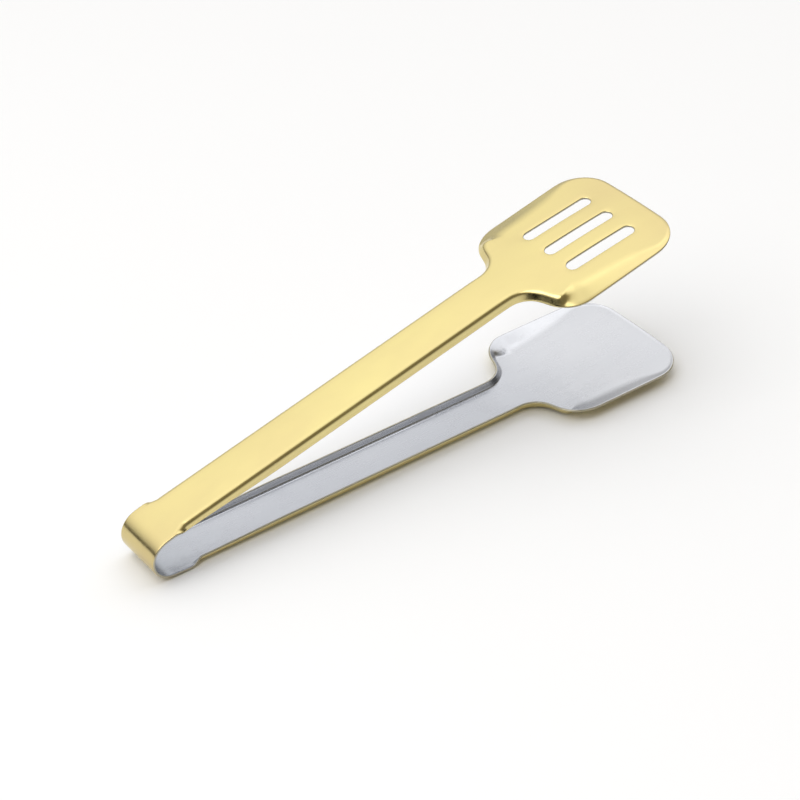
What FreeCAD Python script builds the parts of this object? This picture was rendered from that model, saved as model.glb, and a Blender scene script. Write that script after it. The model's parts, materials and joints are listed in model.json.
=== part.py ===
# Serving tongs pressed from one strip of sheet steel: a bow at the back, two
# channel-section legs, a slotted upper blade and a plain lower blade.
# Lengths in millimetres, angles in degrees.
#
# Frame: the tongs lie on the outer face of the lower leg, which is z = 0.
# +X runs from the bow to the blade tips, +Y across the width, +Z up through
# the opening. The origin is under the middle of the bounding box.
import FreeCAD, Part
import math
import os
import Sketcher

os.makedirs("parts", exist_ok=True)
doc = FreeCAD.newDocument("serving_tongs")
V = FreeCAD.Vector

# --------------------------------------------------------------------------
# driving sizes
# --------------------------------------------------------------------------
SIZES = [
    # alias, value, meaning
    ("gauge", 1.0, "thickness of the sheet"),
    ("half_angle", 7.08, "angle of each leg to the middle plane when relaxed"),
    ("bow_axis_x", -109.712, "X of the bow's centre line"),
    ("web_reach", 9.15, "bow centre line to the outer face of either leg"),
    ("bow_radius", 8.7, "outer radius of the bow"),
    ("bow_width", 21.6, "width of the strip round the bow"),
    ("mouth_run", 8.796, "bow centre to where the legs start, along the middle plane"),
    ("mouth_half", 10.313, "half the outer height there"),
    ("leg_start", 10.0, "where the flat strip ends, along the leg"),
    ("leg_mid", 13.2, "half way through the run-in of the flanges"),
    ("leg_full", 17.0, "where the flanges reach full depth"),
    ("leg_end", 156.05, "where the leg meets the blade"),
    ("bend_outer", 1.5, "outer bend radius between web and flange"),
    ("bend_inner", 0.5, "inner bend radius"),
    ("web_flat", 16.55, "flat width of the web"),
    ("flange_span", 20.86, "width over the flange edges"),
    ("flange_depth", 3.53, "depth of the flange edges below the web"),
    ("start_flat", 18.64, "flat width of the web at the start of the leg"),
    ("start_span", 21.58, "width over the edges at the start of the leg"),
    ("start_depth", 0.15, "depth of the edges at the start of the leg"),
    ("mid_flat", 17.65, "flat width of the web half way through the run-in"),
    ("mid_span", 22.1, "width over the edges half way through the run-in"),
    ("mid_depth", 1.6, "depth of the edges half way through the run-in"),
    ("blade_bend", 3.6, "angle of the blade to its leg, inwards"),
    ("neck_x", 8.4, "blade start to the corner of the neck"),
    ("neck_round", 9.5, "radius of the neck's concave corner"),
    ("heel_x", 14.5, "blade start to the corner of the heel"),
    ("heel_half", 29.9, "half width of the blade at the heel"),
    ("heel_round", 13.6, "radius of the heel"),
    ("toe_x", 71.46, "blade start to the corner of the toe"),
    ("toe_half", 30.0, "half width of the blade at the toe"),
    ("toe_round", 14.3, "radius of the toe corners"),
    ("toe_crown", 0.79, "how far the front edge bows out"),
    ("heel_depth", 3.22, "depth of the rim at the heel"),
    ("toe_depth", 0.55, "depth of the rim along the front"),
    ("toe_wall", 1.0, "plan width of the turned-down rim along the front"),
    ("heel_wall", 7.0, "plan width of the sloping wall at the heel"),
    ("slot_width", 5.0, "width of each slot"),
    ("slot_run", 27.4, "slot length between its end centres"),
    ("slot_start", 30.1, "blade start to the slots' rear end centres"),
    ("slot_pitch", 12.59, "spacing of the slots"),
    ("slot_chamfer", 0.15, "broken edge round each slot"),
]
sheet = doc.addObject("Spreadsheet::Sheet", "Sizes")
for row, (alias, value, note) in enumerate(SIZES, start=1):
    sheet.set("A%d" % row, alias)
    sheet.set("B%d" % row, repr(value))
    sheet.set("C%d" % row, note)
    sheet.setAlias("B%d" % row, alias)
doc.recompute()
S = {alias: float(sheet.get(alias)) for alias, _, _ in SIZES}


def origin_plane(body, role):
    for o in body.Origin.OriginFeatures:
        if o.Role == role:
            return o
    raise RuntimeError("no plane " + role)


def new_body(name):
    body = doc.addObject("PartDesign::Body", name)
    body.Label = name
    return body


def new_sketch(body, name, role, offset=None, offset_expr=None):
    sk = body.newObject("Sketcher::SketchObject", name)
    sk.AttachmentSupport = [(origin_plane(body, role), "")]
    sk.MapMode = "FlatFace"
    if offset is not None:
        sk.AttachmentOffset = FreeCAD.Placement(V(0, 0, offset), FreeCAD.Rotation())
        sk.setExpression("AttachmentOffset.Base.z", offset_expr)
    return sk


def named(sk, constraint, name, expr):
    i = sk.addConstraint(constraint)
    sk.renameConstraint(i, name)
    sk.setExpression("Constraints." + name, expr)
    return i


# --------------------------------------------------------------------------
# placements of the two legs, the blades and the bow
# --------------------------------------------------------------------------
bow_centre = V(S["bow_axis_x"], 0, S["web_reach"])
LEG_LOW = FreeCAD.Placement(V(S["bow_axis_x"], 0, 0), FreeCAD.Rotation(V(1, 0, 0), 180))
up_rot = FreeCAD.Rotation(V(0, 1, 0), -2 * S["half_angle"])
LEG_UP = FreeCAD.Placement(bow_centre + up_rot.multVec(V(0, 0, S["web_reach"])), up_rot)
TO_BLADE = FreeCAD.Placement(V(S["leg_end"], 0, 0), FreeCAD.Rotation(V(0, 1, 0), S["blade_bend"]))
BOW_AT = FreeCAD.Placement(bow_centre, FreeCAD.Rotation(V(0, 1, 0), -S["half_angle"]))


# --------------------------------------------------------------------------
# bow: a U of flat strip, drawn from the side and padded across the width
# --------------------------------------------------------------------------
def build_bow(name):
    body = new_body(name)
    sk = new_sketch(body, name + "_side", "XZ_Plane")
    r_out, g = S["bow_radius"], S["gauge"]
    r_in = r_out - g
    ha = math.radians(S["half_angle"])
    k = V(S["mouth_run"], S["mouth_half"], 0)
    k_in = k - V(-math.sin(ha), math.cos(ha), 0) * g

    def touch(p, r):
        # where a line from p touches a circle of radius r about the origin
        d = math.hypot(p.x, p.y)
        return math.atan2(p.y, p.x) + math.acos(r / d)

    t_out, t_in = touch(k, r_out), touch(k_in, r_in)

    def at(r, ang):
        return V(r * math.cos(ang), r * math.sin(ang), 0)

    def low(p):
        return V(p.x, -p.y, 0)

    axis = V(0, 0, 1)
    G = [
        Part.ArcOfCircle(Part.Circle(V(0, 0, 0), axis, r_out), t_out, 2 * math.pi - t_out),  # 0
        Part.ArcOfCircle(Part.Circle(V(0, 0, 0), axis, r_in), t_in, 2 * math.pi - t_in),  # 1
        Part.LineSegment(at(r_out, t_out), k),  # 2 upper outer
        Part.LineSegment(k, k_in),  # 3 upper end
        Part.LineSegment(k_in, at(r_in, t_in)),  # 4 upper inner
        Part.LineSegment(low(at(r_out, t_out)), low(k)),  # 5 lower outer
        Part.LineSegment(low(k), low(k_in)),  # 6 lower end
        Part.LineSegment(low(k_in), low(at(r_in, t_in))),  # 7 lower inner
    ]
    sk.addGeometry(G, False)
    C = Sketcher.Constraint
    for c in [
        C("Coincident", 0, 3, -1, 1),
        C("Coincident", 1, 3, -1, 1),
        C("Tangent", 0, 1, 2, 1),
        C("Tangent", 0, 2, 5, 1),
        C("Tangent", 1, 1, 4, 2),
        C("Tangent", 1, 2, 7, 2),
        C("Coincident", 2, 2, 3, 1),
        C("Coincident", 3, 2, 4, 1),
        C("Coincident", 5, 2, 6, 1),
        C("Coincident", 6, 2, 7, 1),
        C("Symmetric", 2, 2, 5, 2, -1),
        C("Symmetric", 4, 1, 7, 1, -1),
    ]:
        sk.addConstraint(c)
    named(sk, C("Radius", 0, r_out), "outer", "Sizes.bow_radius")
    named(sk, C("Radius", 1, r_in), "inner", "Sizes.bow_radius - Sizes.gauge")
    named(sk, C("DistanceX", -1, 1, 2, 2, k.x), "run", "Sizes.mouth_run")
    named(sk, C("DistanceY", -1, 1, 2, 2, k.y), "half", "Sizes.mouth_half")
    named(sk, C("DistanceX", 2, 2, 4, 1, g * math.sin(ha)), "lip_run", "Sizes.gauge * sin(Sizes.half_angle)")
    named(sk, C("DistanceY", 4, 1, 2, 2, g * math.cos(ha)), "lip_rise", "Sizes.gauge * cos(Sizes.half_angle)")
    doc.recompute()
    pad = body.newObject("PartDesign::Pad", name + "_pad")
    pad.Profile = sk
    pad.SideType = "Symmetric"
    pad.Length = S["bow_width"]
    pad.setExpression("Length", "Sizes.bow_width")
    body.Placement = BOW_AT
    return body


# --------------------------------------------------------------------------
# legs: a channel section lofted out of the flat strip, then padded straight
# --------------------------------------------------------------------------
def channel_sketch(body, name, at_alias, flat, span, depth):
    """Channel open towards -Z, web outer face on Z = 0, symmetric about Y = 0."""
    sk = new_sketch(body, name, "YZ_Plane", S[at_alias], "Sizes." + at_alias)
    g, ro, ri = S["gauge"], S["bend_outer"], S["bend_inner"]
    wf, sp, dp = S[flat] / 2, S[span] / 2, S[depth]
    c = V(wf, -ro, 0)
    e = V(sp, -dp, 0)
    # tangent from the flange edge to the outer bend
    d = e - c
    phi = math.atan2(d.y, d.x) + math.acos(ro / d.Length)
    n = V(math.cos(phi), math.sin(phi), 0)
    b, b2 = c + n * ro, c + n * ri
    e2 = e - n * g
    a, a2 = V(wf, 0, 0), V(wf, -g, 0)

    def m(p):
        return V(-p.x, p.y, 0)

    axis = V(0, 0, 1)
    G = [
        Part.LineSegment(m(a), a),  # 0 web, outer
        Part.ArcOfCircle(Part.Circle(c, axis, ro), phi, math.pi / 2),  # 1 from b to a
        Part.LineSegment(b, e),  # 2
        Part.LineSegment(e, e2),  # 3
        Part.LineSegment(e2, b2),  # 4
        Part.ArcOfCircle(Part.Circle(c, axis, ri), phi, math.pi / 2),  # 5 from b2 to a2
        Part.LineSegment(a2, m(a2)),  # 6 web, inner
        Part.ArcOfCircle(Part.Circle(m(c), axis, ri), math.pi / 2, math.pi - phi),  # 7 from a2' to b2'
        Part.LineSegment(m(b2), m(e2)),  # 8
        Part.LineSegment(m(e2), m(e)),  # 9
        Part.LineSegment(m(e), m(b)),  # 10
        Part.ArcOfCircle(Part.Circle(m(c), axis, ro), math.pi / 2, math.pi - phi),  # 11 from a' to b'
    ]
    sk.addGeometry(G, False)
    C = Sketcher.Constraint
    for con in [
        C("Tangent", 0, 2, 1, 2),
        C("Tangent", 1, 1, 2, 1),
        C("Coincident", 2, 2, 3, 1),
        C("Coincident", 3, 2, 4, 1),
        C("Tangent", 4, 2, 5, 1),
        C("Tangent", 5, 2, 6, 1),
        C("Tangent", 6, 2, 7, 1),
        C("Tangent", 7, 2, 8, 1),
        C("Coincident", 8, 2, 9, 1),
        C("Coincident", 9, 2, 10, 1),
        C("Tangent", 10, 2, 11, 2),
        C("Tangent", 11, 1, 0, 1),
        C("Coincident", 1, 3, 5, 3),
        C("Coincident", 7, 3, 11, 3),
        C("Symmetric", 0, 1, 0, 2, -2),
        C("PointOnObject", 0, 1, -1),
        C("Symmetric", 2, 2, 10, 1, -2),
        C("Parallel", 2, 4),
        C("Perpendicular", 2, 3),
        C("Parallel", 10, 8),
        C("Perpendicular", 10, 9),
    ]:
        sk.addConstraint(con)
    named(sk, C("Radius", 1, ro), "bend_right", "Sizes.bend_outer")
    named(sk, C("Radius", 11, ro), "bend_left", "Sizes.bend_outer")
    named(sk, C("Radius", 5, ri), "inner_right", "Sizes.bend_inner")
    named(sk, C("Radius", 7, ri), "inner_left", "Sizes.bend_inner")
    named(sk, C("DistanceX", 0, 1, 0, 2, 2 * wf), "flat", "Sizes." + flat)
    named(sk, C("DistanceX", 10, 1, 2, 2, 2 * sp), "span", "Sizes." + span)
    named(sk, C("DistanceY", 2, 2, -1, 1, dp), "depth", "Sizes." + depth)
    return sk


def build_leg(name, placement):
    body = new_body(name)
    s0 = channel_sketch(body, name + "_start", "leg_start", "start_flat", "start_span", "start_depth")
    s1 = channel_sketch(body, name + "_mid", "leg_mid", "mid_flat", "mid_span", "mid_depth")
    s2 = channel_sketch(body, name + "_full", "leg_full", "web_flat", "flange_span", "flange_depth")
    doc.recompute()
    loft = body.newObject("PartDesign::AdditiveLoft", name + "_run_in")
    loft.Profile = s0
    loft.Sections = [s1, s2]
    loft.Ruled = False
    doc.recompute()
    s3 = channel_sketch(body, name + "_section", "leg_full", "web_flat", "flange_span", "flange_depth")
    doc.recompute()
    pad = body.newObject("PartDesign::Pad", name + "_pad")
    pad.Profile = s3
    pad.Length = S["leg_end"] - S["leg_full"]
    pad.setExpression("Length", "Sizes.leg_end - Sizes.leg_full")
    body.Placement = placement
    return body


# --------------------------------------------------------------------------
# blades: a pressed tray whose rim fades out towards the front. The skin is
# surface work; the slots are pocketed through it in a body of its own.
# --------------------------------------------------------------------------
def interp(x, xs, ys):
    if x <= xs[0]:
        return ys[0]
    for i in range(1, len(xs)):
        if x <= xs[i]:
            f = (x - xs[i - 1]) / (xs[i] - xs[i - 1])
            f = f * f * (3 - 2 * f) * 0.5 + f * 0.5
            return ys[i - 1] + f * (ys[i] - ys[i - 1])
    return ys[-1]


def half_outline(step=1.0):
    """Points (x, y) of the rim's edge seen from above, from the neck at y > 0
    round to the middle of the front."""
    edge = S["flange_span"] / 2
    corners = [
        (0.0, edge, 0.0),
        (S["neck_x"], edge, S["neck_round"]),
        (S["heel_x"], S["heel_half"], S["heel_round"]),
        (S["toe_x"], S["toe_half"], S["toe_round"]),
        (S["toe_x"], 0.0, 0.0),
    ]
    pts = [corners[0][:2]]
    for i in range(1, len(corners) - 1):
        (ax, ay, _), (bx, by, r), (cx, cy, _) = corners[i - 1], corners[i], corners[i + 1]
        ux, uy = ax - bx, ay - by
        vx, vy = cx - bx, cy - by
        lu, lv = math.hypot(ux, uy), math.hypot(vx, vy)
        ux, uy, vx, vy = ux / lu, uy / lu, vx / lv, vy / lv
        ang = math.acos(max(-1, min(1, ux * vx + uy * vy)))
        cut = r / math.tan(ang / 2)
        cut = min(cut, 0.95 * lu if i == 1 else 0.49 * lu, 0.9 * lv if i == len(corners) - 2 else 0.49 * lv)
        rr = cut * math.tan(ang / 2)
        px, py, qx, qy = bx + ux * cut, by + uy * cut, bx + vx * cut, by + vy * cut
        wx, wy = ux + vx, uy + vy
        lw = math.hypot(wx, wy)
        ox, oy = bx + wx / lw * rr / math.sin(ang / 2), by + wy / lw * rr / math.sin(ang / 2)
        a0, a1 = math.atan2(py - oy, px - ox), math.atan2(qy - oy, qx - ox)
        da = (a1 - a0 + math.pi) % (2 * math.pi) - math.pi
        n = 12
        for k in range(n + 1):
            aa = a0 + da * k / n
            pts.append((ox + rr * math.cos(aa), oy + rr * math.sin(aa)))
    pts.append(corners[-1][:2])
    # spread evenly and bow the front edge out a little
    out = []
    seg = [math.dist(pts[i], pts[i + 1]) for i in range(len(pts) - 1)]
    total = sum(seg)
    n = int(round(total / step))
    i, acc = 0, 0.0
    for k in range(n + 1):
        want = total * k / n
        while i < len(seg) - 1 and acc + seg[i] < want - 1e-9:
            acc += seg[i]
            i += 1
        f = (want - acc) / seg[i]
        x = pts[i][0] + f * (pts[i + 1][0] - pts[i][0])
        y = pts[i][1] + f * (pts[i + 1][1] - pts[i][1])
        if x > S["toe_x"] - S["toe_round"]:
            near = (x - (S["toe_x"] - S["toe_round"])) / S["toe_round"]
            x += near * near * S["toe_crown"] * (1 - (y / S["toe_half"]) ** 2)
        out.append((x, y))
    return out, total


def rim_depth(x):
    return interp(
        x,
        [S["neck_x"], S["heel_x"] + 3, S["toe_x"] - 7, S["toe_x"] - 1],
        [S["flange_depth"], S["heel_depth"], S["toe_depth"] + 0.45, S["toe_depth"]],
    )


def wall_width(x, y):
    """Plan width of the wall between the flat of the blade and its rim."""
    flare = S["flange_span"] / 2 - (S["web_flat"] / 2 + S["bend_outer"] * math.tan(math.radians(36.85)))
    if x < S["heel_x"] + 14 and y < S["heel_half"] - 0.35 and x < S["heel_x"] + 5:
        # up the neck and the back of the heel, by height above the middle
        return interp(y, [10.6, 12.5, 19.0, 22.6, 25.4, 27.9, 29.5],
                      [flare, 1.7, 2.3, 2.8, 5.0, 0.96 * S["heel_wall"], S["heel_wall"]])
    return interp(
        x,
        [S["heel_x"] + 5, S["heel_x"] + 12, S["heel_x"] + 22.5, S["heel_x"] + 33.5, S["heel_x"] + 40.5,
         S["heel_x"] + 45.5, S["heel_x"] + 50.5, S["toe_x"] - 1],
        [S["heel_wall"], 0.89 * S["heel_wall"], 0.8 * S["heel_wall"], 0.66 * S["heel_wall"],
         0.42 * S["heel_wall"], 1.6, 1.1, S["toe_wall"]],
    )


PIECES = 16


def build_skin(name):
    g = S["gauge"]
    slope = math.tan(math.radians(S["blade_bend"]))
    half, total = half_outline(1.9)
    n = len(half)
    rows = {k: [] for k in ("A", "F", "B", "E", "a", "f", "b", "e")}
    for i, (x, y) in enumerate(half):
        x0, y0 = half[max(0, i - 1)]
        x1, y1 = half[min(n - 1, i + 1)]
        tx, ty = x1 - x0, y1 - y0
        lt = math.hypot(tx, ty)
        tx, ty = tx / lt, ty / lt
        mx, my = -ty, tx  # outward for a path that runs from the neck to the front with y > 0
        if i == 0:
            mx, my = 0.0, 1.0
        if i == n - 1:
            mx, my = 1.0, 0.0
        d, w = rim_depth(x), wall_width(x, y)
        ln = math.hypot(d, w)
        cw, sw = w / ln, d / ln  # wall direction: outward cw, down sw
        tan_half = sw / (1 + cw)
        ro = S["bend_outer"]
        to = min(ro * tan_half, 0.42 * ln)
        ti = min(S["bend_inner"] * tan_half, 0.2 * ln)
        fx, fy = x - mx * w, y - my * w

        def put(key, off, z):
            px, py = fx + mx * off, fy + my * off
            rows[key].append((px, py, z))

        put("A", -to, 0.0)
        put("F", 0.0, 0.0)
        put("B", to * cw, -to * sw)
        put("E", w, -d)
        fi = -g * tan_half
        put("a", fi - ti, -g)
        put("f", fi, -g)
        put("b", fi + ti * cw, -g - ti * sw)
        put("e", w - g * sw, -d - g * cw)
    curves = {}
    params = [k / (2 * n - 2) for k in range(2 * n - 1)]
    for key, pts in rows.items():
        pts = [(p[0], p[1], p[2]) for p in pts]
        pts[0] = (-pts[0][2] * slope, pts[0][1], pts[0][2])
        loop = [V(*p) for p in pts] + [V(p[0], -p[1], p[2]) for p in reversed(pts[:-1])]
        c = Part.BSplineCurve()
        c.interpolate(Points=loop, Parameters=params)
        curves[key] = c

    # the long curves are cut into pieces, so that each face stays simple
    cuts = [params[round(k * (len(params) - 1) / PIECES)] for k in range(PIECES + 1)]
    spans = list(zip(cuts[:-1], cuts[1:]))

    def piece(key, span):
        c = curves[key].copy()
        c.segment(span[0], span[1])
        return c

    def bands(keys, degree):
        out = []
        for span in spans:
            cs = [piece(k, span) for k in keys]
            poles = [list(col) for col in zip(*[c.getPoles() for c in cs])]
            s = Part.BSplineSurface()
            s.buildFromPolesMultsKnots(poles, cs[0].getMultiplicities(), [degree + 1, degree + 1], cs[0].getKnots(),
                                       [0.0, 1.0], False, False, cs[0].Degree, degree)
            out.append(s.toShape())
        return out

    faces = bands("AFB", 2) + bands("BE", 1) + bands("Ee", 1) + bands("eb", 1) + bands("bfa", 2)
    # flat of the blade, outside and inside
    for key in ("A", "a"):
        c = curves[key]
        p0, p1 = c.getPoles()[0], c.getPoles()[-1]
        wire = Part.Wire([piece(key, span).toShape() for span in spans] + [Part.makeLine(p1, p0)])
        faces.append(Part.Face(wire))
    # end of the channel where the blade meets the leg
    ends = {k: (c.getPoles()[0], c.getPoles()[-1]) for k, c in curves.items()}

    def bez(k0, k1, k2, side):
        b = Part.BezierCurve()
        b.setPoles([ends[k0][side], ends[k1][side], ends[k2][side]])
        return b.toShape()

    edges = [Part.makeLine(ends["A"][1], ends["A"][0])]
    edges += [bez("A", "F", "B", 0), Part.makeLine(ends["B"][0], ends["E"][0]), Part.makeLine(ends["E"][0], ends["e"][0]),
              Part.makeLine(ends["e"][0], ends["b"][0]), bez("b", "f", "a", 0)]
    edges += [Part.makeLine(ends["a"][0], ends["a"][1])]
    edges += [bez("a", "f", "b", 1), Part.makeLine(ends["b"][1], ends["e"][1]), Part.makeLine(ends["e"][1], ends["E"][1]),
              Part.makeLine(ends["E"][1], ends["B"][1]), bez("B", "F", "A", 1)]
    faces.append(Part.Face(Part.Wire(edges)))
    shell = Part.makeShell(faces)
    shell.sewShape()
    solid = Part.makeSolid(Part.Shell(shell.Faces) if shell.ShapeType != "Shell" else shell)
    if solid.Volume < 0:
        solid.reverse()
    obj = doc.addObject("Part::Feature", name)
    obj.Label = name
    obj.Shape = solid
    return obj


def build_blade(name, placement, slotted):
    skin = build_skin(name + "_skin")
    print(name, "skin valid", skin.Shape.isValid(), "volume", round(skin.Shape.Volume, 1), skin.Shape.ShapeType)
    body = new_body(name)
    body.BaseFeature = skin
    doc.recompute()
    if slotted:
        sk = new_sketch(body, name + "_slots", "XY_Plane")
        C = Sketcher.Constraint
        r = S["slot_width"] / 2
        x0, x1 = S["slot_start"], S["slot_start"] + S["slot_run"]
        axis = V(0, 0, 1)
        for k in (-1, 0, 1):
            y = k * S["slot_pitch"]
            base = sk.GeometryCount
            sk.addGeometry([
                Part.LineSegment(V(x0, y + r, 0), V(x1, y + r, 0)),
                Part.ArcOfCircle(Part.Circle(V(x1, y, 0), axis, r), -math.pi / 2, math.pi / 2),
                Part.LineSegment(V(x1, y - r, 0), V(x0, y - r, 0)),
                Part.ArcOfCircle(Part.Circle(V(x0, y, 0), axis, r), math.pi / 2, 3 * math.pi / 2),
            ], False)
            b = base
            for c in [C("Tangent", b, 2, b + 1, 2), C("Tangent", b + 1, 1, b + 2, 1),
                      C("Tangent", b + 2, 2, b + 3, 2), C("Tangent", b + 3, 1, b, 1), C("Horizontal", b), C("Horizontal", b + 2)]:
                sk.addConstraint(c)
            tag = {-1: "right", 0: "middle", 1: "left"}[k]
            named(sk, C("Radius", b + 1, r), "round_" + tag, "Sizes.slot_width / 2")
            named(sk, C("DistanceX", -1, 1, b + 3, 3, x0), "start_" + tag, "Sizes.slot_start")
            named(sk, C("DistanceX", b + 3, 3, b + 1, 3, x1 - x0), "run_" + tag, "Sizes.slot_run")
            if k == 0:
                sk.addConstraint(C("PointOnObject", b + 3, 3, -1))
            elif k > 0:
                named(sk, C("DistanceY", -1, 1, b + 3, 3, y), "pitch_" + tag, "Sizes.slot_pitch")
            else:
                named(sk, C("DistanceY", b + 3, 3, -1, 1, -y), "pitch_" + tag, "Sizes.slot_pitch")
        doc.recompute()
        before = body.Shape.Volume
        pocket = body.newObject("PartDesign::Pocket", name + "_pocket")
        pocket.Profile = sk
        pocket.Type = "ThroughAll"
        pocket.Midplane = True
        doc.recompute()
        cut = before - body.Shape.Volume
        want = 3 * S["gauge"] * (S["slot_run"] * S["slot_width"] + math.pi * r * r)
        print(name, "slots removed", round(cut, 2), "of", round(want, 2))
        if abs(cut - want) > 0.02 * want:
            raise RuntimeError("the slots did not cut")
    body.Placement = placement
    return body


bow = build_bow("bow_spring")
lower_arm = build_leg("lower_arm", LEG_LOW)
upper_arm = build_leg("upper_arm", LEG_UP)
lower_blade = build_blade("lower_blade", LEG_LOW.multiply(TO_BLADE), False)
upper_blade = build_blade("upper_blade_slotted", LEG_UP.multiply(TO_BLADE), True)
doc.recompute()

# --------------------------------------------------------------------------
# checks, then one file per sub-part
# --------------------------------------------------------------------------
PARTS = [bow, lower_arm, upper_arm, lower_blade, upper_blade]
bad = [o.Name + " " + str(o.State) for o in doc.Objects if any(w in str(o.State) for w in ("Invalid", "Error"))]
if bad:
    raise RuntimeError("failed objects: " + "; ".join(bad))
for o in doc.Objects:
    if o.TypeId == "Sketcher::SketchObject":
        print(o.Name, "fully constrained", getattr(o, "FullyConstrained", None))
box = FreeCAD.BoundBox()
for o in PARTS:
    shape = o.Shape
    if shape.isNull() or not shape.isValid():
        raise RuntimeError("bad shape: " + o.Label)
    print(o.Label, "solids", len(shape.Solids), "faces", len(shape.Faces), "volume", round(shape.Volume, 1))
    box.add(shape.optimalBoundingBox(False))
    shape.exportStep("parts/" + o.Label + ".step")
print("box", [round(v, 3) for v in (box.XMin, box.YMin, box.ZMin, box.XMax, box.YMax, box.ZMax)])
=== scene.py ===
# Serving tongs pressed from one strip of sheet steel, gold-coloured outside and bare inside.
# One closed skin is built over the whole strip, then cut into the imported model's nodes, so
# that the surfaces run on smoothly from piece to piece.
import json
import math

import bmesh
import bpy
import numpy as np
from mathutils import Matrix, Vector
from mathutils.geometry import delaunay_2d_cdt


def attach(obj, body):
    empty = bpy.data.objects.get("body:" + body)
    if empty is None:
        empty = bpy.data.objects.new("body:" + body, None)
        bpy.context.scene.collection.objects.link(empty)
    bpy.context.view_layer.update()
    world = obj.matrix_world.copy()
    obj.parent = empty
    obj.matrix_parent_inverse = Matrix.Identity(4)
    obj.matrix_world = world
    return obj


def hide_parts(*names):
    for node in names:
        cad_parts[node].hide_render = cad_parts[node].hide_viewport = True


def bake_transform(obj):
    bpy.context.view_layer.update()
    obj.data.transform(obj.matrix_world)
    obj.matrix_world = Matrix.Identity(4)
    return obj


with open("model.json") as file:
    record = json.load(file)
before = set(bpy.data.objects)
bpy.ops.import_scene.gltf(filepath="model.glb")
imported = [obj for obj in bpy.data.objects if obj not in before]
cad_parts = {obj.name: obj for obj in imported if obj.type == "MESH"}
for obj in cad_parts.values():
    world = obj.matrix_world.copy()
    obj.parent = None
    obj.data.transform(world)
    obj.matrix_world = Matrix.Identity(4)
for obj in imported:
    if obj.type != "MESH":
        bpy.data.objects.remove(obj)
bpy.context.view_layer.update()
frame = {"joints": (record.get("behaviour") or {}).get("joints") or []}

# ---------------------------------------------------------------- sizes, mm
GAUGE = 1.0
HALF_ANGLE = math.radians(7.08)
WEB_REACH = 9.15
BOW_RADIUS = 8.7
BOW_HALF = 10.8
MOUTH = (8.796, 10.313)
LEG_START, LEG_END = 10.0, 156.05
WEB_FOLD = 9.0
UPPER_LEAD, LOWER_LAG = 1.5, 1.6  # the upper channel starts earlier than the lower one
FLARE = 1.43
FLANGE_DEPTH = 3.53
BLADE_BEND = math.radians(3.6)
NECK_X, NECK_ROUND = 8.4, 9.5
HEEL_X, HEEL_HALF, HEEL_ROUND, HEEL_DEPTH, HEEL_WALL = 14.5, 29.9, 13.6, 3.22, 7.0
TOE_X, TOE_HALF, TOE_ROUND, TOE_CROWN, TOE_DEPTH, TOE_WALL = 71.46, 30.0, 14.3, 0.79, 0.55, 1.0
SLOT_W, SLOT_RUN, SLOT_START, SLOT_PITCH = 5.0, 27.4, 30.1, 12.59
EDGE_ROUND = 0.42
LEG_BEND = 2.3
WEB_CROWN = 0.10
BLADE_CROWN = 0.5

# the third gold and the third steel are painted shade, laid over the back of the bow outside and inside
GOLD_A, GOLD_B, GOLD_PAINTED_SHADE = (0.745, 0.645, 0.285), (0.60, 0.465, 0.250), (0.50, 0.392, 0.178)
STEEL_A, STEEL_B, STEEL_PAINTED_SHADE = (0.49, 0.505, 0.545), (0.60, 0.61, 0.64), (0.33, 0.37, 0.41)
CUT_A, CUT_B = (0.40, 0.37, 0.27), (0.46, 0.43, 0.34)
# studio light by the height (z) and depth (y) of its direction
SKY_RISE = ((-1.0, 0.40), (-0.05, 0.48), (0.10, 0.52), (0.30, 0.70), (0.45, 0.86), (0.60, 1.00), (0.70, 1.10), (0.78, 1.22), (0.86, 1.25), (0.93, 1.22), (1.0, 1.17))
SKY_FRONT = ((-1.0, 0.24), (-0.62, 0.17), (-0.44, 0.18), (-0.28, 0.40), (-0.12, 0.80), (0.05, 0.94), (0.30, 1.0), (1.0, 1.0))
FRONT_LOW = ((-1.0, 1.0), (-0.88, 0.90), (-0.74, 0.20), (-0.66, 0.0), (1.0, 0.0))
FRONT_RISE = ((-1.0, 0.82), (0.05, 0.82), (0.15, 0.62), (0.30, 0.38), (0.42, 0.10), (0.5, 0.0), (1.0, 0.0))
SKY_LEFT = ((-1.0, 0.80), (-0.75, 0.80), (-0.45, 0.62), (-0.15, 0.12), (0.0, 0.0), (1.0, 0.0))
SKY_LOW = ((-1.0, 1.0), (0.02, 1.0), (0.12, 0.85), (0.26, 0.15), (0.42, 0.0), (1.0, 0.0))
SKY_LEVEL = 1.13
TOP_AT, TOP_SIZE, TOP_POWER = (-0.75, 0.0, 1.2), (1.2, 1.2), 6.0
RIGHT_AT, RIGHT_SIZE, RIGHT_POWER = (0.88, -0.02, 1.12), (1.15, 1.3), 1.2
WARM_FRONT = ((-1.0, 0.3), (-0.80, 0.6), (-0.66, 1.0), (-0.40, 1.0), (-0.20, 0.3), (-0.05, 0.0), (1.0, 0.0))
WARM_RISE = ((-1.0, 0.0), (0.25, 0.0), (0.45, 1.0), (1.0, 1.0))

joint = frame["joints"][0]
BOW_CENTRE = np.array(joint["pos_m"], float) * 1000.0


def smooth(t):
    t = np.clip(t, 0.0, 1.0)
    return t * t * (3 - 2 * t)


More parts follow.
